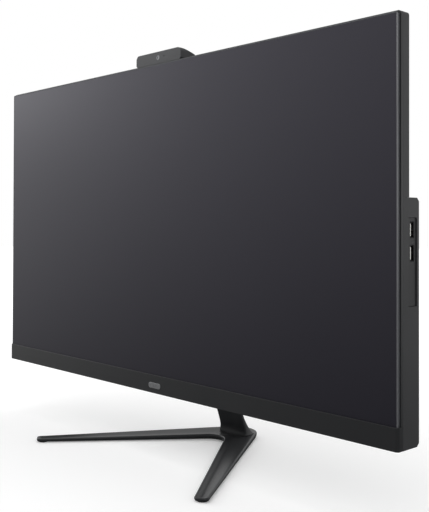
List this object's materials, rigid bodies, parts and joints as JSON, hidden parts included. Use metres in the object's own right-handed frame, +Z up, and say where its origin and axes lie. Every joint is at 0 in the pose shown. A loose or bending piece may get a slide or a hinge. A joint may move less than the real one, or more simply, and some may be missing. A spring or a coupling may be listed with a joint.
{
  "type": "all-in-one desktop computer",
  "caption": "Slim wide-screen desktop computer built into its display, with a tilting neck on a V-shaped foot and a pop-up camera on top.",
  "frame": {"origin": "on the desk, under the middle of the stand's footprint", "axes": "+X to the right of a person facing the screen, the screen faces -Y, +Z up"},
  "size_m": [0.613, 0.22, 0.4499],
  "materials": {
    "painted_cast_metal": "satin dark grey powder coat",
    "rubber": "matte moulded",
    "screw_steel": "zinc plated",
    "hinge_steel": "blackened",
    "panel_glass": "anti-glare, screen off",
    "panel_rim_plastic": "fine moulded texture",
    "clear_acrylic": "polished",
    "led_strip": "white board with phosphor dots",
    "tray_aluminium": "rolled",
    "circuit_board": "solder mask",
    "frame_plastic": "fine moulded texture",
    "chin_plastic": "fine moulded texture",
    "badge_metal": "brushed",
    "cover_plastic": "moulded texture",
    "grille_plastic": "moulded texture",
    "port_metal": "nickel plated",
    "tongue_white": "moulded",
    "tongue_black": "moulded",
    "chassis_steel": "galvanised",
    "chip_black": "moulded epoxy",
    "copper": "bright copper",
    "fin_aluminium": "mill",
    "fan_plastic": "moulded",
    "speaker_plastic": "moulded",
    "button_plastic": "fine moulded texture",
    "camera_plastic": "fine moulded texture",
    "camera_window": "polished",
    "lens_ring": "satin metallic paint",
    "drive_metal": "bead blasted"
  },
  "bodies": {
    "stand": {"stand_base": "painted_cast_metal", "rubber_feet": "rubber", "base_screws": "screw_steel", "stand_neck": "painted_cast_metal", "hinge_yoke": "painted_cast_metal", "yoke_screws": "screw_steel"},
    "display": {"hinge_bracket": "hinge_steel", "hinge_pin": "hinge_steel", "friction_washers": "hinge_steel", "hinge_screws": "screw_steel", "lcd_cell": "panel_glass", "panel_rim": "panel_rim_plastic", "light_guide": "clear_acrylic", "led_bar": "led_strip", "panel_tray": "tray_aluminium", "timing_board": "circuit_board", "mid_frame": "frame_plastic", "chin_bezel": "chin_plastic", "chin_badge": "badge_metal", "upper_cover": "cover_plastic", "rear_cover": "cover_plastic", "cover_screws": "screw_steel", "exhaust_grille": "grille_plastic", "intake_grille": "grille_plastic", "side_port_plate": "grille_plastic", "rear_port_plate": "port_metal", "lock_plate": "port_metal", "chassis_plate": "chassis_steel", "main_board": "circuit_board", "board_standoffs": "copper", "processor": "chip_black", "cold_plate": "copper", "heat_pipe": "copper", "fin_stack": "fin_aluminium", "fan_housing": "fan_plastic", "memory_modules": "circuit_board", "solid_state_drive": "circuit_board", "wireless_card": "circuit_board", "coin_cell": "port_metal", "disk_drive": "drive_metal", "drive_caddy": "chassis_steel", "side_usb_shells": "port_metal", "side_usb_tongues": "tongue_white", "side_usb_board": "circuit_board", "rear_usb_shells": "port_metal", "rear_usb_tongues": "tongue_black", "network_socket": "port_metal", "video_socket": "port_metal", "power_socket": "tongue_black", "audio_socket": "tongue_black", "speakers": "speaker_plastic", "power_switch": "chip_black", "camera_guide": "frame_plastic"},
    "camera": {"camera_head": "camera_plastic", "camera_front": "camera_window", "camera_lens": "lens_ring", "camera_board": "circuit_board", "camera_stem": "frame_plastic"},
    "fan": {"fan_rotor": "fan_plastic"},
    "button": {"power_button": "button_plastic"}
  },
  "joints": [
    {"name": "tilt", "type": "hinge", "parent": "stand", "child": "display", "pos_m": [0, 0.0005, 0.2204], "axis": [-1, 0, 0], "range_deg": [-5, 25]},
    {"name": "camera_slide", "type": "slide", "parent": "display", "child": "camera", "axis": [0, 0, 1], "range_m": [-0.0136, 0]},
    {"name": "fan_spin", "type": "hinge", "parent": "display", "child": "fan", "pos_m": [-0.258, -0.0285, 0.2184], "axis": [0, 1, 0], "continuous": true},
    {"name": "power_press", "type": "slide", "parent": "display", "child": "button", "axis": [0, 0, 1], "range_m": [0, 0.0008], "stiffness_N_per_m": 1500, "springref_m": -0.0005}
  ]
}
